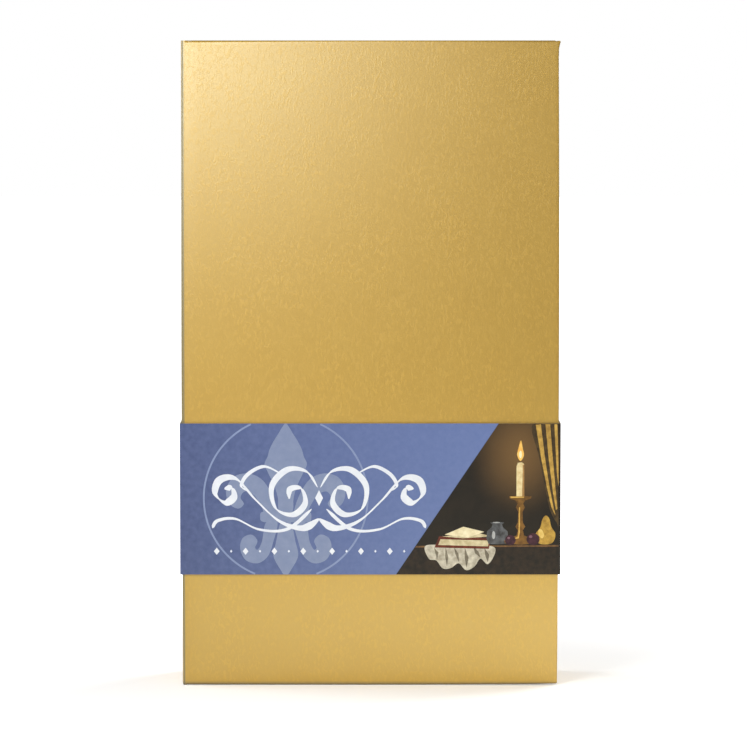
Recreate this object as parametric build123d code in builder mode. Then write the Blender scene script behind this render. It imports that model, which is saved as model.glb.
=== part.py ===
"""Calligraphy set box: a hinged upright gift case with a foam insert, its contents and a paper band.

Millimetres. +X is to the right of the cover, -Y is the front and +Z is up. The origin is under the
middle of the case, on the surface that it stands on.
"""

from build123d import *
import os

os.makedirs("parts", exist_ok=True)

# ---------------------------------------------------------------- driving dimensions
# Case
case_width = 162.0
case_depth = 45.0
case_height = 277.0
greyboard = 2.5  # cover, spine and back boards
wrap_paper = 0.3  # gold paper round the boards
edge_round = 0.6  # outer edges of the wrapped boards
turn_in = 12.0  # paper folded onto the cover's inner face
hinge_crease = 0.6  # cover's left end to the fold line
hinge_clearance = 0.4  # cover's inner face to the spine's front edge

# Tray
tray_overhang = 3.0  # boards stand out past the tray
tray_board = 1.5
tray_wrap = 0.3

# Band
band_height = 65.7
band_bottom = 47.5
band_card = 0.4
band_slack = 0.4  # between the band and the case
band_corner = 1.0  # outside of the band's folds
band_hinge_gap = 1.2  # both panels stop short of the fold line
band_flap = 26.0  # tucked behind the cover
flap_clearance = 0.2  # flap to the cover's inner face
rim_clearance = 0.3  # flap to the tray's rim
band_split = 0.4  # between the folded front and the right panel

# Foam insert
foam_clearance = 0.3
foam_base_thickness = 5.0
foam_middle_thickness = 16.0
foam_top_thickness = 8.0
pocket_clearance = 0.5
pocket_corner = 1.0
pocket_margin = 8.0  # foam left round the outside of the pockets
seat_clearance = 0.1  # round pieces to the foam that they lie on

# Feather pen
quill_pocket_width = 44.0
quill_pocket_margin = 6.0
nib_travel = 14.0
nib_end_room = 3.0
nib_length = 34.0
nib_radius = 2.6
nib_wall = 0.4
nib_point = 15.0  # length of the tapered point
nib_socket = 13.0  # length held in the grip
nib_fit = 0.15
nib_vent = 0.7  # radius of the hole at the end of the slit
nib_slit = 0.12
nib_tip_width = 0.5
grip_length = 46.0
grip_radius = 4.5
grip_waist = 3.6
feather_socket = 12.0
feather_fit = 0.1
shaft_radius = 2.2
shaft_tip_radius = 0.5
feather_end_room = 2.2  # vane's tip to the end of its recess
bare_quill = 16.0  # shaft between the grip and the vane
vane_width = 36.0
vane_thickness = 0.8
vane_past_shaft = 6.0

# Spare nibs
spare_nib_count = 5
spare_nib_pitch = 16.0

# Ink bottle
bottle_radius = 15.0
bottle_body_height = 38.0
bottle_shoulder = 4.0
bottle_wall = 2.0
bottle_base = 3.0
bottle_foot = 1.5  # radius round the bottom edge
neck_radius = 9.0
neck_height = 10.0
neck_wall = 2.2
ink_depth = 26.0
ink_film = 0.05
label_height = 22.0
label_thickness = 0.12
label_open = 0.7  # share of the bottle's depth that the label leaves bare at the back
cap_radius = 11.5
cap_height = 12.0
cap_top = 1.6
cap_thread_clearance = 0.9
cap_flutes = 30
cap_flute_depth = 0.45
cap_pitch = 3.0
cap_turns = 1.5
cap_end_room = 1.5
liner_thickness = 1.0
liner_clearance = 0.4
finger_well_radius = 10.0

# Wax sticks
wax_side = 11.0
wax_length = 88.0
wax_edge = 1.0
wick_radius = 0.8
wick_length = 9.0

# Seal
knob_radius = 12.5
handle_waist = 6.0
handle_waist_height = 44.0
handle_shoulder = 9.0
handle_length = 70.0
collar_radius = 9.6
collar_length = 5.0
die_neck_radius = 7.5
die_neck_length = 8.0
die_radius = 12.0
die_length = 13.0
die_recess = 0.8
die_rim = 1.6
tool_pitch = 27.0
finger_channel_height = 22.0
finger_channel_overrun = 8.0

# ---------------------------------------------------------------- places worked out from them
left = -case_width / 2
right = case_width / 2
front = -case_depth / 2
back = case_depth / 2
board_stack = wrap_paper + greyboard + wrap_paper
cover_left = left + hinge_crease
cover_inner = front + board_stack
spine_front = cover_inner + hinge_clearance
spine_inner = left + wrap_paper + greyboard
back_inner = back - wrap_paper - greyboard

flap_front = cover_inner + flap_clearance
flap_back = flap_front + band_card
tray_rim = flap_back + rim_clearance
tray_right = right - tray_overhang
tray_bottom = tray_overhang
tray_top = case_height - tray_overhang
tray_floor = back_inner - tray_board
tray_wall = tray_wrap + tray_board + tray_wrap

foam_left = spine_inner + tray_wall + foam_clearance
foam_right = tray_right - tray_wall - foam_clearance
foam_bottom = tray_bottom + tray_wall + foam_clearance
foam_top = tray_top - tray_wall - foam_clearance
foam_middle_back = tray_floor - foam_base_thickness
foam_top_back = foam_middle_back - foam_middle_thickness
foam_face = foam_top_back - foam_top_thickness

quill_x = foam_left + pocket_margin + quill_pocket_width / 2
quill_y = foam_top_back - grip_radius - seat_clearance
quill_pocket_bottom = foam_bottom + quill_pocket_margin
quill_pocket_top = foam_top - quill_pocket_margin
nib_tip = quill_pocket_bottom + nib_end_room + nib_travel
grip_bottom = nib_tip + nib_length - nib_socket
grip_top = grip_bottom + grip_length
shaft_bottom = grip_top - feather_socket
vane_bottom = grip_top + bare_quill
vane_top = quill_pocket_top - feather_end_room
shaft_top = vane_top - vane_past_shaft

set_left = quill_x + quill_pocket_width / 2 + pocket_margin
set_right = foam_right - pocket_margin
set_x = (set_left + set_right) / 2
spare_nib_xs = [set_x + spare_nib_pitch * (i - (spare_nib_count - 1) / 2) for i in range(spare_nib_count)]
spare_nib_width = 2 * nib_radius + 2 * pocket_clearance
spare_nib_y = foam_top_back - seat_clearance
spare_nib_bottom = foam_bottom + pocket_margin + pocket_clearance
spare_row_top = spare_nib_bottom + nib_length + pocket_clearance

# The three rows of pockets share what is left of the foam's height as two equal gaps.
seal_length = handle_length + collar_length + die_neck_length + die_length
tool_row_height = max(seal_length, wax_length + wick_length) + 2 * pocket_clearance
cap_lift = cap_pitch * cap_turns
capped_bottle_height = bottle_body_height + neck_height + liner_thickness + cap_top
bottle_row_height = pocket_clearance + capped_bottle_height + cap_lift + cap_end_room
row_gap = (foam_top - pocket_margin - spare_row_top - tool_row_height - bottle_row_height) / 2

seal_x = set_x - tool_pitch
wax_xs = [set_x, set_x + tool_pitch]
tool_bottom = spare_row_top + row_gap
tool_top = tool_bottom + tool_row_height
channel_middle = (tool_bottom + tool_top) / 2
seal_y = foam_middle_back - knob_radius - seat_clearance
handle_bottom = tool_bottom + pocket_clearance
collar_bottom = handle_bottom + handle_length
die_neck_bottom = collar_bottom + collar_length
die_bottom = die_neck_bottom + die_neck_length
die_top = die_bottom + die_length
wax_bottom = tool_bottom + pocket_clearance
wax_top = wax_bottom + wax_length
wax_back = foam_top_back

bottle_x = set_x
bottle_y = foam_middle_back - bottle_radius - seat_clearance
bottle_pocket_bottom = tool_top + row_gap
bottle_bottom = bottle_pocket_bottom + pocket_clearance
bottle_shoulder_z = bottle_bottom + bottle_body_height
neck_top = bottle_shoulder_z + neck_height
cap_bottom = neck_top + liner_thickness + cap_top - cap_height

band_outer_x = right + band_slack + band_card
band_outer_y = back + band_slack + band_card
band_right_panel_front = flap_back + band_split


# ---------------------------------------------------------------- shared shapes
def facing_plane(depth):
    """The upright plane at this depth, seen from the front: local x is +X and local y is +Z."""
    return Plane.XZ.offset(-depth)


def turning_plane(x, y, z):
    """The upright plane of a turned piece: local x is its radius and local y its height above z."""
    return Plane((x, y, z), x_dir=(1, 0, 0), z_dir=(0, -1, 0))


def add_block(xs, ys, zs, mode=Mode.ADD):
    """A straight block between two limits on each axis."""
    with Locations((xs[0], ys[0], zs[0])):
        Box(
            xs[1] - xs[0],
            ys[1] - ys[0],
            zs[1] - zs[0],
            align=(Align.MIN, Align.MIN, Align.MIN),
            mode=mode,
        )


def cut_pocket(centre_x, bottom, width, height, back_depth, thickness):
    """Cuts one round-cornered pocket through a foam layer."""
    with BuildSketch(facing_plane(back_depth)) as pocket:
        with Locations((centre_x, bottom + height / 2)):
            RectangleRounded(width, height, pocket_corner)
    extrude(pocket.sketch, amount=thickness, mode=Mode.SUBTRACT)


def cut_tool_pockets(back_depth, thickness):
    """Cuts the deep pockets: the seal, the ink bottle and the finger wells beside the bottle."""
    cut_pocket(
        seal_x,
        tool_bottom,
        2 * knob_radius + 2 * pocket_clearance,
        tool_row_height,
        back_depth,
        thickness,
    )
    cut_pocket(
        bottle_x,
        bottle_pocket_bottom,
        2 * bottle_radius + 2 * pocket_clearance,
        bottle_row_height,
        back_depth,
        thickness,
    )
    with BuildSketch(facing_plane(back_depth)) as finger_wells:
        with Locations(
            (bottle_x - bottle_radius, bottle_bottom + bottle_body_height / 2),
            (bottle_x + bottle_radius, bottle_bottom + bottle_body_height / 2),
        ):
            Circle(finger_well_radius)
    extrude(finger_wells.sketch, amount=thickness, mode=Mode.SUBTRACT)


def add_nib(x, y, tip):
    """A pen nib: half a tube, open at the back, tapered to a slit point, with a vent hole."""
    with BuildSketch(Plane.XY.offset(tip)) as half_ring:
        with Locations((x, y)):
            Circle(nib_radius)
            Circle(nib_radius - nib_wall, mode=Mode.SUBTRACT)
        with Locations((x, y + nib_radius)):
            Rectangle(2 * nib_radius, 2 * nib_radius, mode=Mode.SUBTRACT)
    extrude(half_ring.sketch, amount=nib_length)
    with BuildSketch(facing_plane(y)) as point_cuts:
        for side in (-1, 1):
            with BuildLine():
                Polyline(
                    (x + side * nib_tip_width / 2, tip),
                    (x + side * nib_radius, tip + nib_point),
                    (x + side * 2 * nib_radius, tip + nib_point),
                    (x + side * 2 * nib_radius, tip),
                    close=True,
                )
            make_face()
        with Locations((x, tip + nib_point)):
            Circle(nib_vent)
        with Locations((x, tip + nib_point / 2)):
            Rectangle(nib_slit, nib_point)
    extrude(point_cuts.sketch, amount=2 * nib_radius, mode=Mode.SUBTRACT)


# ---------------------------------------------------------------- cover
cover_board_xs = (cover_left + wrap_paper, right - wrap_paper)
board_zs = (wrap_paper, case_height - wrap_paper)

with BuildPart() as cover_board:
    add_block(cover_board_xs, (front + wrap_paper, cover_inner - wrap_paper), board_zs)
cover_board.part.label = "cover_board"
export_step(cover_board.part, "parts/cover_board.step")

with BuildPart() as cover_paper:
    add_block((cover_left, right), (front, cover_inner), (0, case_height))
    front_face = cover_paper.faces().sort_by(Axis.Y)[0]
    fillet(front_face.edges(), edge_round)
    add_block(
        cover_board_xs, (front + wrap_paper, cover_inner - wrap_paper), board_zs, mode=Mode.SUBTRACT
    )
    add_block(
        (cover_left + turn_in, right - turn_in),
        (cover_inner - wrap_paper, cover_inner),
        (turn_in, case_height - turn_in),
        mode=Mode.SUBTRACT,
    )
cover_paper.part.label = "cover_paper"
export_step(cover_paper.part, "parts/cover_paper.step")

with BuildPart() as cover_lining:
    add_block(
        (cover_left + turn_in, right - turn_in),
        (cover_inner - wrap_paper, cover_inner),
        (turn_in, case_height - turn_in),
    )
cover_lining.part.label = "cover_lining"
export_step(cover_lining.part, "parts/cover_lining.step")

# ---------------------------------------------------------------- spine and back
spine_board_ys = (spine_front + wrap_paper, back_inner)

with BuildPart() as spine_board:
    add_block((left + wrap_paper, spine_inner), spine_board_ys, board_zs)
spine_board.part.label = "spine_board"
export_step(spine_board.part, "parts/spine_board.step")

with BuildPart() as back_board:
    add_block((left + wrap_paper, right - wrap_paper), (back_inner, back - wrap_paper), board_zs)
back_board.part.label = "back_board"
export_step(back_board.part, "parts/back_board.step")

# The paper turns in onto the boards as far as the tray, which is glued to them.
with BuildPart() as case_paper:
    add_block((left, spine_inner + wrap_paper), (spine_front, back), (0, case_height))
    add_block((left, right), (back_inner - wrap_paper, back), (0, case_height))
    back_edges = case_paper.faces().sort_by(Axis.Y)[-1].edges()
    fillet(back_edges, edge_round)
    add_block((left + wrap_paper, spine_inner), spine_board_ys, board_zs, mode=Mode.SUBTRACT)
    add_block(
        (left + wrap_paper, right - wrap_paper),
        (back_inner, back - wrap_paper),
        board_zs,
        mode=Mode.SUBTRACT,
    )
    add_block(
        (spine_inner, tray_right), (tray_rim, back_inner), (tray_bottom, tray_top), mode=Mode.SUBTRACT
    )
    add_block((left, left + wrap_paper), (front + wrap_paper, spine_front), (0, case_height))
case_paper.part.label = "case_paper"
export_step(case_paper.part, "parts/case_paper.step")

# ---------------------------------------------------------------- tray
with BuildPart() as tray:
    add_block(
        (spine_inner + tray_wrap, tray_right - tray_wrap),
        (tray_rim + tray_wrap, back_inner),
        (tray_bottom + tray_wrap, tray_top - tray_wrap),
    )
    add_block(
        (spine_inner + tray_wrap + tray_board, tray_right - tray_wrap - tray_board),
        (tray_rim, tray_floor),
        (tray_bottom + tray_wrap + tray_board, tray_top - tray_wrap - tray_board),
        mode=Mode.SUBTRACT,
    )
tray.part.label = "tray"
export_step(tray.part, "parts/tray.step")

with BuildPart() as tray_paper:
    add_block((spine_inner, tray_right), (tray_rim, back_inner), (tray_bottom, tray_top))
    add_block(
        (spine_inner + tray_wrap, tray_right - tray_wrap),
        (tray_rim + tray_wrap, back_inner),
        (tray_bottom + tray_wrap, tray_top - tray_wrap),
        mode=Mode.SUBTRACT,
    )
    add_block(
        (spine_inner + tray_wall - tray_wrap, tray_right - tray_wall + tray_wrap),
        (tray_rim + tray_wrap, tray_floor),
        (tray_bottom + tray_wall - tray_wrap, tray_top - tray_wall + tray_wrap),
    )
    add_block(
        (spine_inner + tray_wall, tray_right - tray_wall),
        (tray_rim, tray_floor),
        (tray_bottom + tray_wall, tray_top - tray_wall),
        mode=Mode.SUBTRACT,
    )
tray_paper.part.label = "tray_paper"
export_step(tray_paper.part, "parts/tray_paper.step")

# ---------------------------------------------------------------- foam insert, in three layers
foam_xs = (foam_left, foam_right)
foam_zs = (foam_bottom, foam_top)

with BuildPart() as foam_base:
    add_block(foam_xs, (foam_middle_back, tray_floor), foam_zs)
foam_base.part.label = "foam_base"
export_step(foam_base.part, "parts/foam_base.step")

with BuildPart() as foam_middle:
    add_block(foam_xs, (foam_top_back, foam_middle_back), foam_zs)
    cut_tool_pockets(foam_middle_back, foam_middle_thickness)
foam_middle.part.label = "foam_middle"
export_step(foam_middle.part, "parts/foam_middle.step")

wax_pocket_width = wax_side + 2 * pocket_clearance
channel_left = seal_x - knob_radius - finger_channel_overrun
channel_right = wax_xs[-1] + wax_side / 2 + finger_channel_overrun

with BuildPart() as foam_face_layer:
    add_block(foam_xs, (foam_face, foam_top_back), foam_zs)
    cut_tool_pockets(foam_top_back, foam_top_thickness)
    cut_pocket(
        quill_x,
        quill_pocket_bottom,
        quill_pocket_width,
        quill_pocket_top - quill_pocket_bottom,
        foam_top_back,
        foam_top_thickness,
    )
    for wax_x in wax_xs:
        cut_pocket(
            wax_x,
            tool_bottom,
            wax_pocket_width,
            tool_row_height,
            foam_top_back,
            foam_top_thickness,
        )
    cut_pocket(
        (channel_left + channel_right) / 2,
        channel_middle - finger_channel_height / 2,
        channel_right - channel_left,
        finger_channel_height,
        foam_top_back,
        foam_top_thickness,
    )
    for nib_x in spare_nib_xs:
        cut_pocket(
            nib_x,
            spare_nib_bottom - pocket_clearance,
            spare_nib_width,
            nib_length + 2 * pocket_clearance,
            foam_top_back,
            foam_top_thickness,
        )
foam_face_layer.part.label = "foam_top"
export_step(foam_face_layer.part, "parts/foam_top.step")

# ---------------------------------------------------------------- feather pen
with BuildPart() as pen_grip:
    with BuildSketch(turning_plane(quill_x, quill_y, grip_bottom)):
        with BuildLine():
            Polyline((grip_waist, 0), (0, 0), (0, grip_length), (grip_waist, grip_length))
            Spline(
                (grip_waist, grip_length),
                (grip_radius, grip_length * 0.8),
                (grip_waist, grip_length * 0.5),
                (grip_radius, grip_length * 0.22),
                (grip_waist, 0),
            )
        make_face()
    revolve(axis=Axis((quill_x, quill_y, 0), (0, 0, 1)))
    with BuildSketch(Plane.XY.offset(grip_bottom)):
        with Locations((quill_x, quill_y)):
            Circle(nib_radius + nib_fit)
    extrude(amount=nib_socket + nib_fit, mode=Mode.SUBTRACT)
    with BuildSketch(Plane.XY.offset(grip_top)):
        with Locations((quill_x, quill_y)):
            Circle(shaft_radius + feather_fit)
    extrude(amount=-feather_socket, mode=Mode.SUBTRACT)
pen_grip.part.label = "pen_grip"
export_step(pen_grip.part, "parts/pen_grip.step")

with BuildPart() as pen_nib:
    add_nib(quill_x, quill_y, nib_tip)
pen_nib.part.label = "pen_nib"
export_step(pen_nib.part, "parts/pen_nib.step")

with BuildPart() as feather_shaft:
    with BuildSketch(Plane.XY.offset(shaft_bottom)):
        with Locations((quill_x, quill_y)):
            Circle(shaft_radius)
    with BuildSketch(Plane.XY.offset(shaft_top)):
        with Locations((quill_x, quill_y)):
            Circle(shaft_tip_radius)
    loft()
feather_shaft.part.label = "feather_shaft"
export_step(feather_shaft.part, "parts/feather_shaft.step")

vane_length = vane_top - vane_bottom

with BuildPart() as feather_vane:
    with BuildSketch(facing_plane(quill_y + vane_thickness / 2)):
        with BuildLine():
            for side in (-1, 1):
                Spline(
                    (quill_x, vane_bottom),
                    (quill_x + side * vane_width * 0.30, vane_bottom + vane_length * 0.10),
                    (quill_x + side * vane_width * 0.50, vane_bottom + vane_length * 0.45),
                    (quill_x + side * vane_width * 0.36, vane_bottom + vane_length * 0.82),
                    (quill_x, vane_top),
                )
        make_face()
    extrude(amount=vane_thickness)
    add(feather_shaft.part, mode=Mode.SUBTRACT)
feather_vane.part.label = "feather_vane"
export_step(feather_vane.part, "parts/feather_vane.step")

# ---------------------------------------------------------------- spare nibs
with BuildPart() as spare_nibs:
    for nib_x in spare_nib_xs:
        add_nib(nib_x, spare_nib_y, spare_nib_bottom)
spare_nibs.part.label = "spare_nibs"
export_step(spare_nibs.part, "parts/spare_nibs.step")

# ---------------------------------------------------------------- ink bottle
bottle_axis = Axis((bottle_x, bottle_y, 0), (0, 0, 1))
inner_radius = bottle_radius - bottle_wall
bore_radius = neck_radius - neck_wall
ink_bottom = bottle_bottom + bottle_base


def add_bottle_body(radius, neck, bottom, body_height, foot, mode=Mode.ADD):
    """A bottle-shaped solid from this height to the top of the neck, turned about the bottle's axis."""
    top = neck_top - bottom
    with BuildSketch(turning_plane(bottle_x, bottle_y, bottom)) as half_profile:
        with BuildLine():
            Polyline(
                (radius - foot, 0),
                (0, 0),
                (0, top),
                (neck, top),
                (neck, body_height),
                (radius - bottle_shoulder, body_height),
            )
            RadiusArc(
                (radius - bottle_shoulder, body_height),
                (radius, body_height - bottle_shoulder),
                bottle_shoulder,
            )
            Line((radius, body_height - bottle_shoulder), (radius, foot))
            RadiusArc((radius, foot), (radius - foot, 0), foot)
        make_face()
    revolve(half_profile.sketch, axis=bottle_axis, mode=mode)


with BuildPart() as ink_bottle:
    add_bottle_body(bottle_radius, neck_radius, bottle_bottom, bottle_body_height, bottle_foot)
    add_bottle_body(
        inner_radius,
        bore_radius,
        ink_bottom,
        bottle_body_height - bottle_base - bottle_wall,
        bottle_foot,
        mode=Mode.SUBTRACT,
    )
ink_bottle.part.label = "ink_bottle"
export_step(ink_bottle.part, "parts/ink_bottle.step")

with BuildPart() as ink:
    with BuildSketch(Plane.XY.offset(ink_bottom + ink_film)):
        with Locations((bottle_x, bottle_y)):
            Circle(inner_radius - ink_film)
    extrude(amount=ink_depth)
    fillet(ink.faces().sort_by(Axis.Z)[0].edges(), bottle_foot)
ink.part.label = "ink"
export_step(ink.part, "parts/ink.step")

with BuildPart() as bottle_label:
    label_bottom = bottle_bottom + (bottle_body_height - bottle_shoulder - label_height) / 2
    with BuildSketch(Plane((bottle_x, bottle_y, label_bottom))):
        Circle(bottle_radius + label_thickness)
        Circle(bottle_radius, mode=Mode.SUBTRACT)
        with Locations((0, bottle_radius)):
            Rectangle(2 * bottle_radius + 1, 2 * bottle_radius * label_open, mode=Mode.SUBTRACT)
    extrude(amount=label_height)
bottle_label.part.label = "bottle_label"
export_step(bottle_label.part, "parts/bottle_label.step")

cap_inner_radius = neck_radius + cap_thread_clearance

with BuildPart() as ink_cap:
    with BuildSketch(Plane.XY.offset(cap_bottom)):
        with Locations((bottle_x, bottle_y)):
            Circle(cap_radius)
            with PolarLocations(cap_radius, cap_flutes):
                Circle(cap_flute_depth, mode=Mode.SUBTRACT)
    extrude(amount=cap_height)
    with BuildSketch(Plane.XY.offset(cap_bottom)):
        with Locations((bottle_x, bottle_y)):
            Circle(cap_inner_radius)
    extrude(amount=cap_height - cap_top, mode=Mode.SUBTRACT)
ink_cap.part.label = "ink_cap"
export_step(ink_cap.part, "parts/ink_cap.step")

with BuildPart() as cap_liner:
    with BuildSketch(Plane.XY.offset(neck_top)):
        with Locations((bottle_x, bottle_y)):
            Circle(cap_inner_radius - liner_clearance)
    extrude(amount=liner_thickness)
cap_liner.part.label = "cap_liner"
export_step(cap_liner.part, "parts/cap_liner.step")


# ---------------------------------------------------------------- wax sticks
def add_wax_stick(x):
    """A square stick with softened edges, lying upright in its pocket."""
    add_block((x - wax_side / 2, x + wax_side / 2), (wax_back - wax_side, wax_back), (wax_bottom, wax_top))


with BuildPart() as wax_stick_left:
    add_wax_stick(wax_xs[0])
    fillet(wax_stick_left.edges().filter_by(Axis.Z), wax_edge)
wax_stick_left.part.label = "wax_stick_left"
export_step(wax_stick_left.part, "parts/wax_stick_left.step")

with BuildPart() as wax_stick_right:
    add_wax_stick(wax_xs[1])
    fillet(wax_stick_right.edges().filter_by(Axis.Z), wax_edge)
wax_stick_right.part.label = "wax_stick_right"
export_step(wax_stick_right.part, "parts/wax_stick_right.step")

with BuildPart() as wax_wicks:
    with BuildSketch(Plane.XY.offset(wax_top)):
        with Locations(*[(x, wax_back - wax_side / 2) for x in wax_xs]):
            Circle(wick_radius)
    extrude(amount=wick_length)
wax_wicks.part.label = "wax_wicks"
export_step(wax_wicks.part, "parts/wax_wicks.step")

# ---------------------------------------------------------------- seal
seal_axis = Axis((seal_x, seal_y, 0), (0, 0, 1))

with BuildPart() as seal_handle:
    with BuildSketch(turning_plane(seal_x, seal_y, handle_bottom)):
        with BuildLine():
            Polyline((handle_shoulder, handle_length), (0, handle_length), (0, 0))
            RadiusArc((0, 0), (knob_radius, knob_radius), -knob_radius)
            Spline(
                (knob_radius, knob_radius),
                (handle_waist, handle_waist_height),
                (handle_shoulder, handle_length),
                tangents=((0, 1), (0.4, 1)),
            )
        make_face()
    revolve(axis=seal_axis)
seal_handle.part.label = "seal_handle"
export_step(seal_handle.part, "parts/seal_handle.step")

with BuildPart() as seal_collar:
    with BuildSketch(Plane.XY.offset(collar_bottom)):
        with Locations((seal_x, seal_y)):
            Circle(collar_radius)
    extrude(amount=collar_length)
    fillet(seal_collar.edges().filter_by(GeomType.CIRCLE), collar_length / 5)
seal_collar.part.label = "seal_collar"
export_step(seal_collar.part, "parts/seal_collar.step")

with BuildPart() as seal_die:
    with BuildSketch(Plane.XY.offset(die_neck_bottom)):
        with Locations((seal_x, seal_y)):
            Circle(die_neck_radius)
    extrude(amount=die_neck_length)
    with BuildSketch(Plane.XY.offset(die_bottom)):
        with Locations((seal_x, seal_y)):
            Circle(die_radius)
    extrude(amount=die_length)
    with BuildSketch(Plane.XY.offset(die_top)):
        with Locations((seal_x, seal_y)):
            Circle(die_radius - die_rim)
    extrude(amount=-die_recess, mode=Mode.SUBTRACT)
seal_die.part.label = "seal_die"
export_step(seal_die.part, "parts/seal_die.step")

# ---------------------------------------------------------------- band
band_zs = (band_bottom, band_bottom + band_height)
band_inner_corner = band_corner - band_card


def add_band_ring():
    """The whole band as a closed, round-cornered ring."""
    with BuildSketch(Plane.XY.offset(band_bottom)) as ring:
        RectangleRounded(2 * band_outer_x, 2 * band_outer_y, band_corner)
        RectangleRounded(
            2 * (band_outer_x - band_card),
            2 * (band_outer_y - band_card),
            band_inner_corner,
            mode=Mode.SUBTRACT,
        )
    extrude(ring.sketch, amount=band_height)


# The spine, back and right panels.
with BuildPart() as band_wrap:
    add_band_ring()
    add_block((0, band_outer_x), (-band_outer_y, band_right_panel_front), band_zs, mode=Mode.SUBTRACT)
    add_block((-band_outer_x, 0), (-band_outer_y, front + band_hinge_gap), band_zs, mode=Mode.SUBTRACT)
band_wrap.part.label = "band_wrap"
export_step(band_wrap.part, "parts/band_wrap.step")

# The front panel, folded round the cover's right edge and tucked behind it.
with BuildPart() as band_front:
    add_band_ring()
    add_block((-band_outer_x, band_outer_x), (flap_back, band_outer_y), band_zs, mode=Mode.SUBTRACT)
    add_block((-band_outer_x, left + band_hinge_gap), (-band_outer_y, back), band_zs, mode=Mode.SUBTRACT)
    add_block((band_outer_x - band_flap, band_outer_x), (flap_front, flap_back), band_zs)
    tuck_edge = band_front.edges().filter_by(Axis.Z).sort_by(Axis.Y)[-4:].sort_by(Axis.X)[-1]
    fillet(tuck_edge, band_card / 2)
band_front.part.label = "band_front"
export_step(band_front.part, "parts/band_front.step")
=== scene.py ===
import math
import random

import bmesh
import bpy
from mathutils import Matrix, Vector, noise
from mathutils.geometry import tessellate_polygon


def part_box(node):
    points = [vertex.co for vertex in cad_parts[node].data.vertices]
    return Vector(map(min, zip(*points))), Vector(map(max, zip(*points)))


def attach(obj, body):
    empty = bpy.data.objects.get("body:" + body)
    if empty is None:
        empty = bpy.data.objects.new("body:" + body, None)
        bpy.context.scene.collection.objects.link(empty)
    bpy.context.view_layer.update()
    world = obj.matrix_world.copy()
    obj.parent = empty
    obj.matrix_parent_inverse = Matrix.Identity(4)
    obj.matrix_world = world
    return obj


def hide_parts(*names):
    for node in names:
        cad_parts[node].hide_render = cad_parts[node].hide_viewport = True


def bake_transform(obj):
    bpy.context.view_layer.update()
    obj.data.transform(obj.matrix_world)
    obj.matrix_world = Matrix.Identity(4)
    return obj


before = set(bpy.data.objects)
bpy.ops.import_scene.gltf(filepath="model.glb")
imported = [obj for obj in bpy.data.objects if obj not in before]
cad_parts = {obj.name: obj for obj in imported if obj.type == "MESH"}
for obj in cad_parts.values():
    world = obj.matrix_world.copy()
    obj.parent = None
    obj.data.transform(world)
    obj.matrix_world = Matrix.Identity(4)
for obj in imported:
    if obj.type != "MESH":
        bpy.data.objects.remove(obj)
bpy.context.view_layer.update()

# ---- sizes, in metres
MM = 0.001
scene = bpy.context.scene

cover_lo, cover_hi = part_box("cover_paper")
case_lo, case_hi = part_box("case_paper")
tray_lo, tray_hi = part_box("tray_paper")
front_lo, front_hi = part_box("band_front")
wrap_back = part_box("band_wrap")[1].y

left, right = case_lo.x, case_hi.x
front, back = cover_lo.y, case_hi.y
case_height = case_hi.z
cover_inner = cover_hi.y
band_bottom, band_top = front_lo.z + 0.45 * MM, front_hi.z - 0.1 * MM
band_right = front_hi.x
band_face = front_lo.y + 0.06 * MM

PAPER = 0.3 * MM
STEP = 0.05 * MM  # one sheet lying over another
CARD = 0.3 * MM
PRINT = 0.012 * MM  # ink on the card
LEVEL = 0.004 * MM  # one print over another


# ---- material nodes
class Nodes:
    """A node tree, with short calls for the nodes used here."""

    def __init__(self, tree):
        self.tree = tree

    def add(self, kind, **settings):
        made = self.tree.nodes.new(kind)
        for key, value in settings.items():
            setattr(made, key, value)
        return made

    def put(self, socket, value):
        if isinstance(value, bpy.types.NodeSocket):
            self.tree.links.new(value, socket)
        else:
            socket.default_value = value

    def feed(self, made, **values):
        for key, value in values.items():
            self.put(made.inputs[key.replace("_", " ")], value)
        return made

    def math(self, operation, *values):
        made = self.add("ShaderNodeMath", operation=operation)
        for socket, value in zip(made.inputs, values):
            self.put(socket, value)
        return made.outputs["Value"]

    def span(self, value, low, high, to_low=0, to_high=1, kind="LINEAR"):
        """The value's run from low to high, mapped on to another run and held at its ends."""
        made = self.add("ShaderNodeMapRange", interpolation_type=kind)
        self.feed(made, Value=value, From_Min=low, From_Max=high, To_Min=to_low, To_Max=to_high)
        return made.outputs["Result"]

    def seen(self):
        """1 for the rays that show a surface to the camera, also through glass."""
        rays = self.add("ShaderNodeLightPath").outputs
        return self.math("MAXIMUM", rays["Is Camera Ray"], rays["Is Transmission Ray"])


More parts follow.
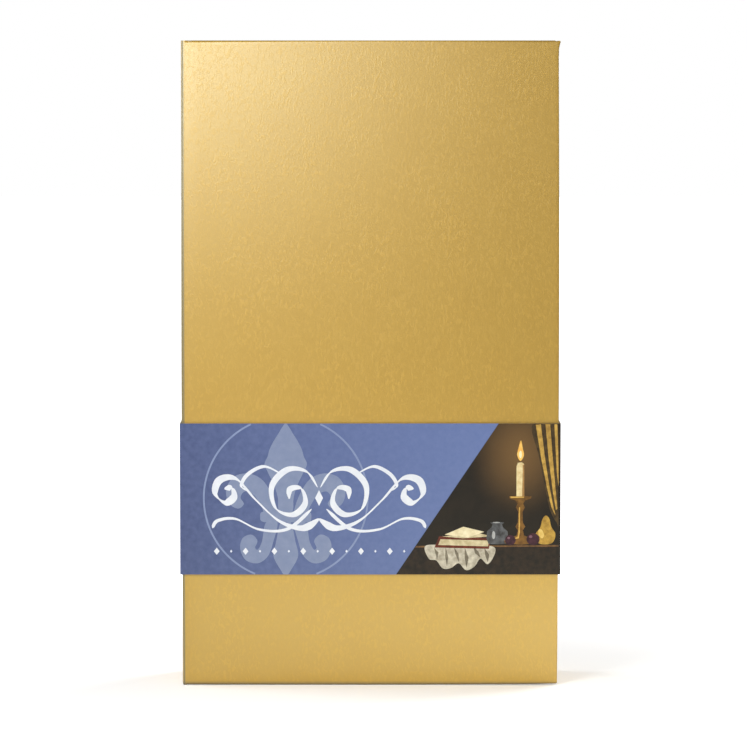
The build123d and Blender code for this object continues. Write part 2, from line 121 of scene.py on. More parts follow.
class Shader(Nodes):
    """A material. Its textures lie in the piece's own frame, or where it rests if it bends."""

    def __init__(self, name, rest=False):
        self.material = bpy.data.materials.new(name)
        self.material.use_nodes = True
        super().__init__(self.material.node_tree)
        self.bsdf = self.tree.nodes["Principled BSDF"]
        if rest:
            self.place = self.add("ShaderNodeAttribute", attribute_name="rest").outputs["Vector"]
        else:
            self.place = self.add("ShaderNodeTexCoord").outputs["Object"]

    def scaled(self, scale, turn=(0, 0, 0)):
        made = self.add("ShaderNodeMapping")
        return self.feed(made, Vector=self.place, Scale=scale, Rotation=turn).outputs["Vector"]

    def noise(self, scale, detail=2, roughness=0.5, distortion=0, vector=None):
        """Noise with this many cycles a metre."""
        made = self.add("ShaderNodeTexNoise")
        self.feed(made, Vector=vector or self.place, Scale=scale, Detail=detail)
        self.feed(made, Roughness=roughness, Distortion=distortion)
        return made.outputs["Fac"]

    def mix(self, factor, a, b):
        made = self.add("ShaderNodeMix", data_type="RGBA")
        for index, value in ((0, factor), (6, a), (7, b)):
            self.put(made.inputs[index], value)
        return made.outputs[2]

    def blotch(self, texture, low, high, a, b):
        """Two colours, each where the texture is below or above these levels."""
        return self.mix(self.span(texture, low, high), a, b)

    def split(self):
        made = self.feed(self.add("ShaderNodeSeparateXYZ"), Vector=self.place)
        return made.outputs["X"], made.outputs["Y"], made.outputs["Z"]

    def distance(self, point, scale=(1, 1, 1)):
        """How far the surface is from a point, in metres, with the axes weighted."""
        result = self.place
        for operation, value in (("SUBTRACT", point), ("MULTIPLY", scale)):
            made = self.add("ShaderNodeVectorMath", operation=operation)
            self.put(made.inputs[0], result)
            made.inputs[1].default_value = value
            result = made.outputs[0]
        length = self.add("ShaderNodeVectorMath", operation="LENGTH")
        self.put(length.inputs[0], result)
        return length.outputs["Value"]

    def bump(self, height, depth, strength=1):
        made = self.add("ShaderNodeBump")
        self.feed(made, Strength=strength, Distance=depth, Height=height)
        self.put(self.bsdf.inputs["Normal"], made.outputs["Normal"])

    def surface(self, **values):
        self.feed(self.bsdf, **values)
        return self.material


def rgb(red, green, blue):
    """A colour written as 8-bit sRGB, in linear values."""
    channels = [c / 255 for c in (red, green, blue)]
    linear = [c / 12.92 if c <= 0.04045 else ((c + 0.055) / 1.055) ** 2.4 for c in channels]
    return (*linear, 1)


# ---- materials
GOLD_LOW, GOLD_HIGH = rgb(184, 142, 30), rgb(194, 150, 35)
GOLD_DRIFT = rgb(189, 149, 42)
# painted shade: the dark of the fold line's crease, and of the edge the case stands on
GOLD_FOLD_SHADE, GOLD_FOOT_SHADE = rgb(116, 103, 68), rgb(88, 70, 40)
GOLD_GLOSS = (0.86, 0.98, 0.88, 1)
WRINKLE_LEAN = math.radians(17)
FOLD_SHADE_RUN = (1.1 * MM, 1.5 * MM)  # from the case's left face: painted crease shade, then none
FOLD_SHADE_FRONT = (0.9 * MM, 1.5 * MM)  # from the case's front face; the painted crease shade stays this near it
FOOT_SHADE_RUN = (0.2 * MM, 1.9 * MM)  # painted shade at the foot, above the table


def make_gold_paper(name, rest=False, painted_edge_shade=False):
    """Gold leatherette paper: short leaning wrinkles over a fine grain, under a pearl gloss.

    Where asked, it gets painted shade: darker along the fold line's crease and along the edge that
    the case stands on.
    """
    s = Shader(name, rest)
    leaning = s.scaled((1, 1, 0.5), (0, WRINKLE_LEAN, 0))
    creases = s.span(s.noise(850, 2, 0.5, 0.8, leaning), 0.46, 0.66, kind="SMOOTHSTEP")
    patches = s.span(s.noise(75), 0.34, 0.62, 0.45, 1)
    grain = s.math("MULTIPLY", s.noise(3200), 0.2)
    height = s.math("MULTIPLY_ADD", creases, patches, grain)
    # Lighter on the raised creases and darker between them: partly the paper's own mottle, partly
    # painted shade of the wrinkles.
    shade = s.blotch(height, 0.1, 1.1, GOLD_LOW, GOLD_HIGH)
    shade = s.mix(s.span(s.noise(45), 0.3, 0.7, 0, 0.3), shade, GOLD_DRIFT)
    # painted shade: darker in the crease along the fold line, near the front face
    if painted_edge_shade:
        x, y, z = s.split()
        fold = s.span(s.math("SUBTRACT", x, left), *FOLD_SHADE_RUN, 0.85, 0, "SMOOTHSTEP")
        near_front = s.span(y, front + FOLD_SHADE_FRONT[0], front + FOLD_SHADE_FRONT[1], 1, 0)
        shade = s.mix(s.math("MULTIPLY", fold, near_front), shade, GOLD_FOLD_SHADE)
        # painted shade along the foot, where the case meets the table
        shade = s.mix(s.span(z, *FOOT_SHADE_RUN, 0.85, 0, "SMOOTHSTEP"), shade, GOLD_FOOT_SHADE)
    s.bump(height, 0.036 * MM, 0.6)
    return s.surface(
        Base_Color=shade,
        Metallic=0.04,
        Roughness=s.span(creases, 0, 1, 0.43, 0.49),
        IOR=1.65,
        Specular_IOR_Level=1,
        Specular_Tint=GOLD_GLOSS,
    )


PANEL_FOOT = 11.1 * MM  # where the picture panel's slanting edge meets the band's lower edge
PANEL_SLANT = 43.9 / 65  # its run to the right for each step up
PANEL_SOFTNESS = 0.08 * MM
PANEL_DARK, PANEL_WARM, PANEL_LIT = rgb(17, 16, 15), rgb(44, 36, 26), rgb(122, 92, 54)
BLUE_LEFT, BLUE_RIGHT, BLUE_MOTTLE = rgb(71, 83, 124), rgb(102, 120, 170), rgb(132, 146, 192)
BLUE_RUN = (-80 * MM, 50 * MM)
CANDLE_X, FLAME_Z = 64.5 * MM, 100.5 * MM
CANDLE_GLOW = 24 * MM


def card_finish(s, shade):
    """Printed card: a slight fibre, under a dull varnish."""
    fibre = s.noise(1500, 3, 0.6)
    s.bump(s.math("MULTIPLY_ADD", s.noise(160), 2, fibre), 0.02 * MM, 0.35)
    roughness = s.span(fibre, 0.3, 0.7, 0.45, 0.57)
    return s.surface(Base_Color=shade, Roughness=roughness, Specular_IOR_Level=0.3)


def make_band_print(name, rest=False):
    """Blue that lightens to the right, then a dark slanting panel that runs on round the fold."""
    s = Shader(name, rest)
    x, y, z = s.split()
    blue = s.blotch(x, *BLUE_RUN, BLUE_LEFT, BLUE_RIGHT)
    blue = s.mix(s.span(s.noise(420, 3, 0.6), 0.3, 0.7, 0, 0.16), blue, BLUE_MOTTLE)
    umber = s.mix(s.noise(95, 4, 0.6, 0.6), PANEL_DARK, PANEL_WARM)
    from_flame = s.distance((CANDLE_X, band_face, FLAME_Z), (1, 0, 0.8))
    glow = s.span(from_flame, 0, CANDLE_GLOW, 1, 0, "SMOOTHSTEP")
    on_face = s.span(y, band_face + 0.4 * MM, band_face + 1.2 * MM, 0.85, 0)
    umber = s.mix(s.math("MULTIPLY", on_face, glow), umber, PANEL_LIT)
    rise = s.math("SUBTRACT", z, band_bottom)
    edge = s.math("SUBTRACT", x, s.math("MULTIPLY_ADD", rise, PANEL_SLANT, PANEL_FOOT))
    return card_finish(s, s.blotch(edge, -PANEL_SOFTNESS, PANEL_SOFTNESS, blue, umber))


def make_print(name, colour, second=None, scale=260):
    """A flat printed ink on the card, slightly mottled."""
    s = Shader(name)
    second = second or tuple(0.86 * c for c in colour[:3]) + (1,)
    return card_finish(s, s.blotch(s.noise(scale, 4, 0.6), 0.35, 0.65, colour, second))


def make_paper(name, colour, second, scale, depth, roughness):
    """Plain paper or board, with fibres that lie level."""
    s = Shader(name)
    fibre = s.noise(scale, 4, 0.65, 0.4, s.scaled((1, 1, 2.5)))
    shade = s.blotch(fibre, 0.3, 0.7, colour, second)
    shade = s.mix(s.span(s.noise(40), 0.35, 0.65, 0, 0.25), shade, second)
    s.bump(fibre, depth, 0.5)
    rough = s.span(fibre, 0.3, 0.7, roughness - 0.06, roughness + 0.06)
    return s.surface(Base_Color=shade, Roughness=rough)


def make_foam(name):
    """Flocked foam: a short dark pile over an open-celled sheet."""
    s = Shader(name)
    pile = s.noise(2600, 4, 0.7)
    cells = s.add("ShaderNodeTexVoronoi", feature="SMOOTH_F1")
    cell = s.feed(cells, Vector=s.place, Scale=900).outputs["Distance"]
    shade = s.blotch(pile, 0.3, 0.72, rgb(24, 26, 38), rgb(52, 57, 78))
    shade = s.mix(s.span(s.noise(60, 3), 0.35, 0.7, 0, 0.35), shade, rgb(40, 44, 64))
    s.bump(s.math("MULTIPLY_ADD", cell, 0.5, pile), 0.18 * MM, 0.8)
    return s.surface(Base_Color=shade, Roughness=0.95, Sheen_Weight=0.35, Sheen_Roughness=0.4)


def make_metal(name, colour, second, roughness, turned=True):
    """Turned or drawn metal, with fine tool lines and a little tarnish."""
    s = Shader(name)
    lines = s.scaled((0.02, 0.02, 1) if turned else (1, 1, 0.05))
    tarnish = s.noise(220, 4, 0.6, 0.5)
    s.bump(s.noise(4200, 3, 0.6, 0, lines), 0.012 * MM, 0.5)
    return s.surface(
        Base_Color=s.blotch(tarnish, 0.42, 0.72, colour, second),
        Metallic=1,
        Roughness=s.span(tarnish, 0.3, 0.75, roughness, roughness + 0.14),
    )


def make_wood(name):
    """Dark turned hardwood under lacquer, with the grain along the handle."""
    s = Shader(name)
    grain = s.noise(260, 5, 0.6, 2.2, s.scaled((1, 1, 0.09)))
    pores = s.noise(2400, 2, 0.5, 0, s.scaled((1, 1, 0.05)))
    shade = s.blotch(grain, 0.32, 0.68, rgb(58, 24, 13), rgb(122, 58, 30))
    shade = s.mix(s.span(pores, 0.62, 0.72, 0, 0.7), shade, rgb(30, 12, 7))
    s.bump(pores, 0.02 * MM, 0.2)
    return s.surface(Base_Color=shade, Roughness=0.42, Coat_Weight=0.7, Coat_Roughness=0.08)


def make_wax(name, colour, second):
    """Cast wax: cloudy, and light enters it a little way."""
    s = Shader(name)
    cloud = s.noise(120, 4, 0.6, 1)
    s.bump(s.math("MULTIPLY_ADD", s.noise(900), 0.25, cloud), 0.12 * MM, 0.5)
    return s.surface(
        Base_Color=s.blotch(cloud, 0.3, 0.7, colour, second),
        Roughness=s.span(cloud, 0.3, 0.7, 0.26, 0.44),
        Subsurface_Weight=0.08,
        Subsurface_Radius=(0.002, 0.001, 0.001),
        Subsurface_Scale=0.4,
    )


def make_plastic(name, colour, second, roughness):
    s = Shader(name)
    cloud = s.noise(700, 3, 0.6)
    s.bump(cloud, 0.01 * MM, 0.4)
    shade = s.blotch(cloud, 0.35, 0.65, colour, second)
    rough = s.span(cloud, 0.3, 0.7, roughness, roughness + 0.08)
    return s.surface(Base_Color=shade, Roughness=rough)


def make_glass(name):
    """Clear blown glass with a slow ripple."""
    s = Shader(name)
    ripple = s.noise(120)
    s.bump(ripple, 0.05 * MM, 0.25)
    tint = s.blotch(s.noise(60), 0.3, 0.7, (0.93, 0.97, 0.965, 1), (0.97, 0.99, 0.985, 1))
    rough = s.span(ripple, 0.3, 0.7, 0, 0.03)
    return s.surface(Base_Color=tint, Roughness=rough, Transmission_Weight=1, IOR=1.5)


def make_feather(name):
    """Barbs with a slight lengthwise streak."""
    s = Shader(name)
    streak = s.noise(900, 3, 0.6, 0.3, s.scaled((1, 1, 0.4)))
    shade = s.blotch(streak, 0.3, 0.7, rgb(186, 179, 160), rgb(222, 218, 206))
    s.bump(streak, 0.08 * MM, 0.6)
    return s.surface(Base_Color=shade, Roughness=0.7, Sheen_Weight=0.2)


gold = make_gold_paper("gold_leatherette")
# The cover and the hinge fold get painted shade along the fold line and the foot.
gold_cover = make_gold_paper("gold_leatherette_cover", painted_edge_shade=True)
gold_fold = make_gold_paper("gold_leatherette_fold", rest=True, painted_edge_shade=True)
band_print = make_band_print("band_print_front", rest=True)
band_blue = make_band_print("band_print_sides")
# name, two colours, fibres a metre, their depth and roughness
greyboard, lining_navy, card_core, label_cream, wick_cotton = (
    make_paper(name, rgb(*colour), rgb(*second), scale, depth * MM, roughness)
    for name, colour, second, scale, depth, roughness in (
        ("greyboard", (150, 146, 138), (122, 118, 110), 900, 0.05, 0.9),
        ("lining_navy", (40, 49, 88), (33, 41, 76), 1300, 0.03, 0.72),
        ("card_core", (208, 205, 195), (188, 184, 172), 1800, 0.02, 0.85),
        ("label_cream", (232, 223, 198), (218, 206, 176), 1500, 0.02, 0.8),
        ("wick_cotton", (236, 230, 210), (205, 196, 170), 2600, 0.1, 0.9),
    )
)
# name, two colours and roughness
cap_black, liner_white, quill_horn, ink_black = (
    make_plastic(name, rgb(*colour), rgb(*second), roughness)
    for name, colour, second, roughness in (
        ("cap_black", (20, 20, 22), (27, 27, 30), 0.2),
        ("liner_white", (232, 230, 222), (216, 213, 203), 0.5),
        ("quill_horn", (236, 226, 198), (218, 203, 165), 0.32),
        ("ink_black", (9, 9, 16), (12, 12, 22), 0.04),
    )
)
foam = make_foam("flocked_foam")
brass = make_metal("turned_brass", rgb(205, 165, 92), rgb(168, 124, 60), 0.2)
nib_metal = make_metal("nib_bronze", rgb(205, 190, 158), rgb(168, 138, 88), 0.16, turned=False)
lacquered_wood = make_wood("lacquered_wood")
wax_red = make_wax("wax_red", rgb(150, 24, 26), rgb(118, 14, 20))
wax_blue = make_wax("wax_blue", rgb(34, 52, 122), rgb(24, 38, 96))
bottle_glass = make_glass("bottle_glass")
feather_white = make_feather("feather_white")


# ---- mesh helpers
def linked(name, data):
    obj = bpy.data.objects.new(name, data)
    scene.collection.objects.link(obj)
    return obj


def stand_in(piece, body, *nodes):
    """The piece moves with a body and is drawn in place of CAD nodes."""
    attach(piece, body)
    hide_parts(*nodes)


def make_piece(name, verts, faces, material, slot, merge=True, recalc=True, crease=35):
    """A mesh object from points and faces."""
    mesh = bpy.data.meshes.new(name)
    mesh.from_pydata([tuple(v) for v in verts], [], faces)
    bm = bmesh.new()
    bm.from_mesh(mesh)
    if merge:
        bmesh.ops.remove_doubles(bm, verts=bm.verts, dist=1e-7)
    if recalc:
        bmesh.ops.recalc_face_normals(bm, faces=bm.faces)
    bm.to_mesh(mesh)
    bm.free()
    return dress(name, mesh, material, crease)


def dress(name, mesh, material, crease=35):
    """Links the mesh as a piece, smooth up to this angle, and stores where its points rest."""
    mesh.materials.append(material)
    mesh.shade_smooth()
    mesh.set_sharp_from_angle(angle=math.radians(crease))
    rest = mesh.attributes.new("rest", "FLOAT_VECTOR", "POINT")
    rest.data.foreach_set("vector", [c for v in mesh.vertices for c in v.co])
    obj = linked(name, mesh)
    return obj


def prism(outline, zs, bevel=0, segments=3, cuts_x=(), cuts_z=()):
    """An outline in plan, drawn up between two heights, with rounded edges and a grid of cuts."""
    bm = bmesh.new()
    face = bm.faces.new([bm.verts.new((x, y, zs[0])) for x, y in outline])
    raised = bmesh.ops.extrude_face_region(bm, geom=[face])
    moved = [v for v in raised["geom"] if isinstance(v, bmesh.types.BMVert)]
    bmesh.ops.translate(bm, verts=moved, vec=(0, 0, zs[1] - zs[0]))
    bmesh.ops.recalc_face_normals(bm, faces=bm.faces)
    if bevel:
        edges = list(bm.edges)
        bmesh.ops.bevel(
            bm, geom=edges, offset=bevel, segments=segments, profile=0.5, affect="EDGES"
        )
    for axis, values in ((0, cuts_x), (2, cuts_z)):
        for value in values:
            point, normal = [0, 0, 0], [0, 0, 0]
            point[axis], normal[axis] = value, 1
            parts = bm.verts[:] + bm.edges[:] + bm.faces[:]
            bmesh.ops.bisect_plane(bm, geom=parts, plane_co=point, plane_no=normal)
    return bm


def finish_prism(bm, name, material, move=None):
    if move:
        for v in bm.verts:
            v.co = move(v.co.copy())
    mesh = bpy.data.meshes.new(name)
    bm.to_mesh(mesh)
    bm.free()
    return dress(name, mesh, material)


def rectangle(xs, ys):
    return [(xs[0], ys[0]), (xs[1], ys[0]), (xs[1], ys[1]), (xs[0], ys[1])]


def steps(start, end, size):
    """Evenly spaced values between two ends, both left out."""
    count = max(1, round(abs(end - start) / size))
    return [start + (end - start) * i / count for i in range(1, count)]


def loft(rings, cap=True):
    """Points and faces of a skin through closed rings of equal count."""
    count = len(rings[0])
    faces = []
    for i in range(len(rings) - 1):
        for j in range(count):
            a, b = i * count + j, i * count + (j + 1) % count
            faces.append((a, b, b + count, a + count))
    if cap:
        last = (len(rings) - 1) * count
        faces.append(tuple(range(count))[::-1])
        faces.append(tuple(range(last, last + count)))
    return [p for ring in rings for p in ring], faces


def joined(skins):
    """Points and faces of several skins, as one."""
    verts, faces = [], []
    for more_verts, more_faces in skins:
        base = len(verts)
        verts += more_verts
        faces += [tuple(base + index for index in face) for face in more_faces]
    return verts, faces


def circle(cx, cy, z, r, count):
    """A level ring of points."""
    turns = [2 * math.pi * k / count for k in range(count)]
    return [(cx + r * math.cos(a), cy + r * math.sin(a), z) for a in turns]


def lathe(name, profile, centre, material, slot, segments=64):
    """A turned piece from (radius, height) points, closed if its profile ends where it starts."""
    rings = [circle(*centre, z, max(r, 1e-6), segments) for r, z in profile]
    verts, faces = loft(rings, cap=profile[0] != profile[-1])
    return make_piece(name, verts, faces, material, slot, crease=30)


def rounded_path(points, radii, arc_steps=6):
    """A plan polyline whose inner corners are turned with these radii."""
    path = [Vector(points[0])]
    for i in range(1, len(points) - 1):
        corner = Vector(points[i])
        a = (Vector(points[i - 1]) - corner).normalized()
        b = (Vector(points[i + 1]) - corner).normalized()
        half = a.angle(b) / 2
        reach = radii[i - 1] / math.tan(half)
        centre = corner + (a + b).normalized() * radii[i - 1] / math.sin(half)
        start, end = corner + a * reach - centre, corner + b * reach - centre
        turn = start.angle_signed(end)
        for k in range(arc_steps + 1):
            angle = -turn * k / arc_steps
            c, s = math.cos(angle), math.sin(angle)
            path.append(centre + Vector((start.x * c - start.y * s, start.x * s + start.y * c)))
    path.append(Vector(points[-1]))
    return path


def heading(line, i):
    """The direction of a line of points at one of them."""
    return (line[min(i + 1, len(line) - 1)] - line[max(i - 1, 0)]).normalized()


def card_piece(
    name, path, thickness, zs, material, slot, core=None, inner=1, cuts_z=(), move=None
):
    """A card that follows a plan path. Its cut edges and its inner side show its core."""
    sides = ([], [])
    for i, point in enumerate(path):
        along = heading(path, i)
        across = Vector((-along.y, along.x)) * thickness / 2
        sides[0].append(point + across)
        sides[1].append(point - across)
    outline = sides[0] + sides[1][::-1]
    count, turns = len(path), 2 * len(path)
    heights = [zs[0], *cuts_z, zs[1]]
    verts, faces = loft([[(p.x, p.y, z) for p in outline] for z in heights], cap=False)
    if move:
        verts = [move(Vector(v)) for v in verts]
    bare = [j in (count - 1, turns - 1) or (j < count) == (inner > 0) for j in range(turns)]
    bare = bare * (len(heights) - 1)
    for base in (0, (len(heights) - 1) * turns):
        for i in range(count - 1):
            far = base + turns - 1 - i
            faces.append((base + i, base + i + 1, far - 1, far))
            bare.append(True)
    obj = make_piece(name, verts, faces, material, slot, crease=40)
    if core:
        obj.data.materials.append(core)
        for face, shown in zip(obj.data.polygons, bare):
            face.material_index = int(shown)
    return obj


def smooth_line(points, per_span=12, closed=False):
    """A Catmull-Rom curve through flat points."""
    points = [Vector(p) for p in points]
    count = len(points)
    line = []
    for i in range(count if closed else count - 1):
        p1, p2 = points[i], points[(i + 1) % count]
        p0 = points[(i - 1) % count] if closed or i else p1
        p3 = points[(i + 2) % count] if closed or i + 2 < count else p2
        slope, bend = p2 - p0, 2 * p0 - 5 * p1 + 4 * p2 - p3
        twist = 3 * p1 - p0 - 3 * p2 + p3
        for k in range(per_span):
            t = k / per_span
            line.append(0.5 * (2 * p1 + slope * t + bend * t * t + twist * t**3))
    if not closed:
        line.append(points[-1])
    return line


def between(stations, u):
    """The values either side of u in (place, value) stations, and how far u is between them."""
    for (u0, v0), (u1, v1) in zip(stations, stations[1:]):
        if u <= u1:
            break
    return v0, v1, (u - u0) / (u1 - u0)


def middle(lo, hi):
    return (lo.x + hi.x) / 2, (lo.y + hi.y) / 2


def clamp(value, low, high):
    return max(low, min(high, value))


# ---- case
EDGE_ROUND, CASE_ROUND = 0.6 * MM, 0.55 * MM
GRID = 6 * MM
TOP_BOW, FOOT_BOW_RIGHT, FOOT_BOW_LEFT = -0.4 * MM, 0.5 * MM, 0.15 * MM
SIDE_BOW = 0.5 * MM
RIPPLE = 0.05 * MM
EAR, EAR_OUT, EAR_UP = 5 * MM, 1.3 * MM, 0.5 * MM  # the corner's raised paper, and its rise


def barrel(x, z):
    """The wrapped board is a little fuller in the middle of its edges than at its corners."""
    u, v = x / right, 2 * z / case_height - 1
    side = SIDE_BOW if u < 0 else -SIDE_BOW
    rise = TOP_BOW if v > 0 else (FOOT_BOW_RIGHT if u > 0 else FOOT_BOW_LEFT)
    return Vector((side * abs(u) * v * v, 0, rise * abs(v) * u * u))


def shape_cover(p):
    """The bowed board, with a faint ripple on its face and the paper proud at one corner."""
    p = p + barrel(p.x, p.z)
    ripple = noise.noise(Vector((p.x * 22, 3.1, p.z * 16)))
    if p.y < front + 1.5 * MM:
        p.y += RIPPLE * ripple
    ear = max(0, 1 - (Vector((p.x - right, p.z - case_height)).length / EAR))
    p.x += EAR_OUT * ear * ear
    p.z += EAR_UP * ear * ear
    return p


def grid_cuts(start, end):
    """Even cuts that let the board bow, and two closer ones for the raised corner."""
    return steps(start + MM, end - MM, GRID) + [end - 3 * MM, end - 1.6 * MM]


case_zs = (0, case_height)
cover_outline = rectangle((cover_lo.x, right), (front + STEP, cover_inner))
cover_cuts = grid_cuts(cover_lo.x, right), grid_cuts(0, case_height)
cover_body = prism(cover_outline, case_zs, EDGE_ROUND, 4, *cover_cuts)
cover_wrap = finish_prism(cover_body, "cover_wrap", gold_cover, shape_cover)
stand_in(cover_wrap, "cover", "cover_paper", "cover_board")

LINING_MARGIN = 8 * MM
lining_xs = (cover_lo.x + LINING_MARGIN, right - LINING_MARGIN)
lining_ys = (cover_inner - 0.2 * MM, cover_inner + 0.04 * MM)
lining_zs = (LINING_MARGIN, case_height - LINING_MARGIN)
lining_body = prism(rectangle(lining_xs, lining_ys), lining_zs)
lining_sheet = finish_prism(lining_body, "cover_lining_sheet", lining_navy)
stand_in(lining_sheet, "cover", "cover_lining")

spine_x, spine_y = (left + STEP, -77.9 * MM), -18.95 * MM
back_inner = 19.4 * MM
case_outline = [
    (spine_x[0], spine_y), (spine_x[1], spine_y), (spine_x[1], back_inner),
    (right, back_inner), (right, back), (spine_x[0], back),
]
case_body = prism(case_outline, case_zs, CASE_ROUND, 4)
case_wrap = finish_prism(case_body, "case_wrap", gold)
stand_in(case_wrap, "base", "case_paper")

hinge_x, hinge_y = left + PAPER / 2, front + PAPER / 2
hinge_back, hinge_inner = -16.5 * MM, left + 1.35 * MM
hinge_points = [(hinge_x, hinge_back), (hinge_x, hinge_y), (hinge_inner, hinge_y)]
FOLD_REACH, FOLD_RUN = 3 * MM, 2 * MM  # where the fold takes up the cover's bow


def shape_fold(p):
    share = clamp((front + FOLD_REACH - p.y) / FOLD_RUN, 0, 1)
    return p + Vector((barrel(left, p.z).x * share, 0, 0))


hinge_path, hinge_zs = rounded_path(hinge_points, [CASE_ROUND]), (0.02 * MM, case_height)
hinge_cuts = steps(0, case_height, 12 * MM)
hinge_fold = card_piece(
    "hinge_fold", hinge_path, PAPER, hinge_zs, gold_fold, "gold_paper", None, 1, hinge_cuts,
    shape_fold,
)
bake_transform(hinge_fold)

# ---- tray and insert
TRAY_WALL, TRAY_DEPTH, RIM_ROUND = 2.1 * MM, 18.2 * MM, 0.35 * MM


def tray_ring(inset, y):
    """One ring of the tray's paper, this far in from its outside."""
    xs = (tray_lo.x + inset, tray_hi.x - inset)
    zs = (tray_lo.z + inset, tray_hi.z - inset)
    return [(x, y, z) for x, z in rectangle(xs, zs)]


rim = []
for k in range(5):
    a = math.pi / 2 * k / 4
    rim.append((RIM_ROUND * (1 - math.cos(a)), tray_lo.y + RIM_ROUND * (1 - math.sin(a))))
tray_stations = [
    (0, tray_hi.y),
    *rim,
    *((TRAY_WALL - inset, y) for inset, y in reversed(rim)),
    (TRAY_WALL, TRAY_DEPTH), (TRAY_WALL - PAPER, TRAY_DEPTH),
    (TRAY_WALL - PAPER, tray_lo.y + PAPER), (PAPER, tray_lo.y + PAPER),
    (PAPER, tray_hi.y), (0, tray_hi.y),
]
tray_skin = loft([tray_ring(*station) for station in tray_stations], cap=False)
tray_wrap = make_piece("tray_wrap", *tray_skin, gold, "tray_paper", crease=50)
stand_in(tray_wrap, "base", "tray_paper")

# The CAD's own mesh shows for these, each with its material.
for material, names in (
    (greyboard, ("spine_board", "back_board", "tray")),
    (foam, ("foam_base", "foam_middle", "foam_top")),
    (nib_metal, ("pen_nib", "spare_nibs")),
    (quill_horn, ("feather_shaft",)),
    (lacquered_wood, ("seal_handle",)),
    (brass, ("seal_collar", "seal_die")),
    (ink_black, ("ink",)),
    (cap_black, ("ink_cap",)),
    (liner_white, ("cap_liner",)),
    (label_cream, ("bottle_label",)),
):
    for name in names:
        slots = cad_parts[name].data.materials
        for index in range(len(slots)):
            slots[index] = material
        if not slots:
            slots.append(material)

# ---- feather pen
vane_lo, vane_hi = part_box("feather_vane")
shaft_lo, shaft_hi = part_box("feather_shaft")
grip_lo, grip_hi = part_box("pen_grip")
quill_x, quill_y = middle(grip_lo, grip_hi)
rng = random.Random(7)
VANE_WIDTHS = [
    (0, 0), (0.1, 0.6), (0.28, 0.88), (0.45, 1), (0.65, 0.93), (0.82, 0.72), (0.93, 0.42), (1, 0),
]
NARROW_SIDE = 0.78  # a feather's leading vane, against its other one
SHAFT_FOOT, SHAFT_TIP = 2.2 * MM, 0.5 * MM  # widths
VANE_DEPTH = 0.4 * MM  # either side of the middle
BARB_DEPTH = 0.36 * MM
BARBS = 150  # on each side
FIRST_BARB, LAST_BARB = 1.5 * MM, 10.5 * MM  # from the vane's foot and tip
DOWNY_SHARE, SPLIT_CHANCE = 0.12, 0.035


def vane_reach(z, side):
    """How far the vane stands out from the shaft at this height."""
    w0, w1, t = between(VANE_WIDTHS, (z - vane_lo.z) / (vane_hi.z - vane_lo.z))
    half = (vane_hi.x - vane_lo.x) / 2
    return max(w0 + (w1 - w0) * t, 0) * half * (NARROW_SIDE if side < 0 else 1)


def barb(root_z, side, tip_z, down=0):
    """The line of one barb from the shaft out to the vane's edge, curving up."""
    reach = vane_reach(min(tip_z, vane_hi.z - 0.2 * MM), side)
    u = (root_z - shaft_lo.z) / (shaft_hi.z - shaft_lo.z)
    root = (SHAFT_FOOT * (1 - u) + SHAFT_TIP * u) / 2
    sway = rng.uniform(-0.5, 0.5) * down
    points = []
    for k in range(7):
        t = k / 6
        x = root + (reach - root) * t**0.85
        z = root_z + (tip_z - root_z) * t**1.35
        z += sway * MM * 3 * math.sin(4 * t + root_z * 900) * t
        y = 0.32 * MM * math.sin(2.6 * t + root_z * 500) * t * (0.6 + down)
        points.append(Vector((side * x, clamp(y, -BARB_DEPTH, BARB_DEPTH), z)))
    return points


def ribbon(points, width, thickness):
    """A thin strip along a barb, narrowing to its tip and held inside the vane's own box."""
    last = len(points) - 1
    rings = []
    for i, p in enumerate(points):
        along = heading(points, i)
        across = Vector((-along.z, 0, along.x)) * width * (1 - 0.75 * (i / last) ** 2) / 2
        deep = Vector((0, thickness / 2, 0))
        ring = []
        for corner in (across - deep, across + deep, -across + deep, -across - deep):
            q = p + corner
            x = clamp(quill_x + q.x, vane_lo.x, vane_hi.x)
            y = quill_y + clamp(q.y, -VANE_DEPTH, VANE_DEPTH)
            ring.append((x, y, clamp(q.z, vane_lo.z, vane_hi.z)))
        rings.append(ring)
    return loft(rings)


barbs = []
for side in (-1, 1):
    gap = 0
    for i in range(BARBS):
        u = i / (BARBS - 1)
        root_z = vane_lo.z + FIRST_BARB + u * (vane_hi.z - vane_lo.z - FIRST_BARB - LAST_BARB)
        lift = (9 + 6 * (1 - abs(2 * u - 1))) * MM
        if rng.random() < SPLIT_CHANCE:
            gap = rng.uniform(0.8, 1.8) * MM
        downy = max(0, 1 - u / DOWNY_SHARE)
        tip_z = min(root_z + lift + gap + downy * rng.uniform(-3, 3) * MM, vane_hi.z - 0.4 * MM)
        gap *= 0.8
        line = barb(root_z, side, max(tip_z, root_z + 2 * MM), downy)
        barbs.append(ribbon(line, (1.45 - 0.55 * downy) * MM, rng.uniform(0.08, 0.16) * MM))
vane = joined(barbs)
feather_barbs = make_piece("feather_barbs", *vane, feather_white, "feather", False, False, 60)
stand_in(feather_barbs, "base", "feather_vane")

